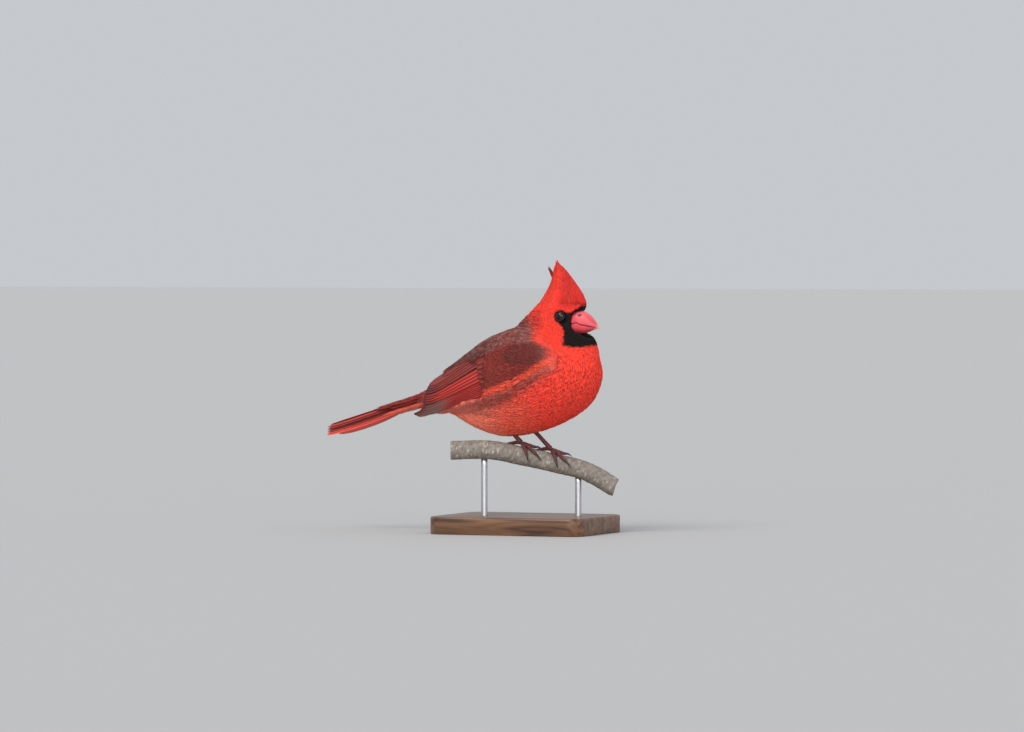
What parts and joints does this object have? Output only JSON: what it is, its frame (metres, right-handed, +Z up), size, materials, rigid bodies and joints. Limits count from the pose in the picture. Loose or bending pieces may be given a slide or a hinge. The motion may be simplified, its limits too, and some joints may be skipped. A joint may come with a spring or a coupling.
{
  "type": "northern cardinal model on a perch",
  "caption": "Life-size still model of a male northern cardinal, crest raised, gripping a cut length of branch held by a plain display stand.",
  "frame": {"origin": "middle of the underside of the stand's base", "axes": "+X the way the body faces, +Y the bird's left, +Z up"},
  "size_m": [0.2073, 0.084, 0.1867],
  "materials": {
    "plumage_scarlet": "soft scarlet contour feathers, black mask round the bill",
    "plumage_crest": "darker red crest feathers, matt",
    "plumage_wing": "dusky red wing feathers with grey edges",
    "plumage_tail": "dark red tail feathers",
    "bill_coral": "coral red horn, satin",
    "eye": "near black, wet gloss",
    "leg_skin": "dark reddish brown scuted skin",
    "claw": "dark horn, satin",
    "bark": "grey brown bark with pale lenticels",
    "stand_wood": "plain oiled walnut",
    "stand_steel": "brushed round rod"
  },
  "bodies": {
    "root": {"bill_lower": "bill_coral", "bill_upper": "bill_coral", "claw_left_hind": "claw", "claw_left_inner": "claw", "claw_left_middle": "claw", "claw_left_outer": "claw", "claw_right_hind": "claw", "claw_right_inner": "claw", "claw_right_middle": "claw", "claw_right_outer": "claw", "crest": "plumage_crest", "eye_left": "eye", "eye_right": "eye", "foot_left": "leg_skin", "foot_right": "leg_skin", "head": "plumage_scarlet", "neck": "plumage_scarlet", "perch": "bark", "stand_base": "stand_wood", "stand_rod_1": "stand_steel", "stand_rod_2": "stand_steel", "tail": "plumage_tail", "tarsus_left": "leg_skin", "tarsus_right": "leg_skin", "torso": "plumage_scarlet", "wing_left": "plumage_wing", "wing_right": "plumage_wing"}
  },
  "joints": []
}
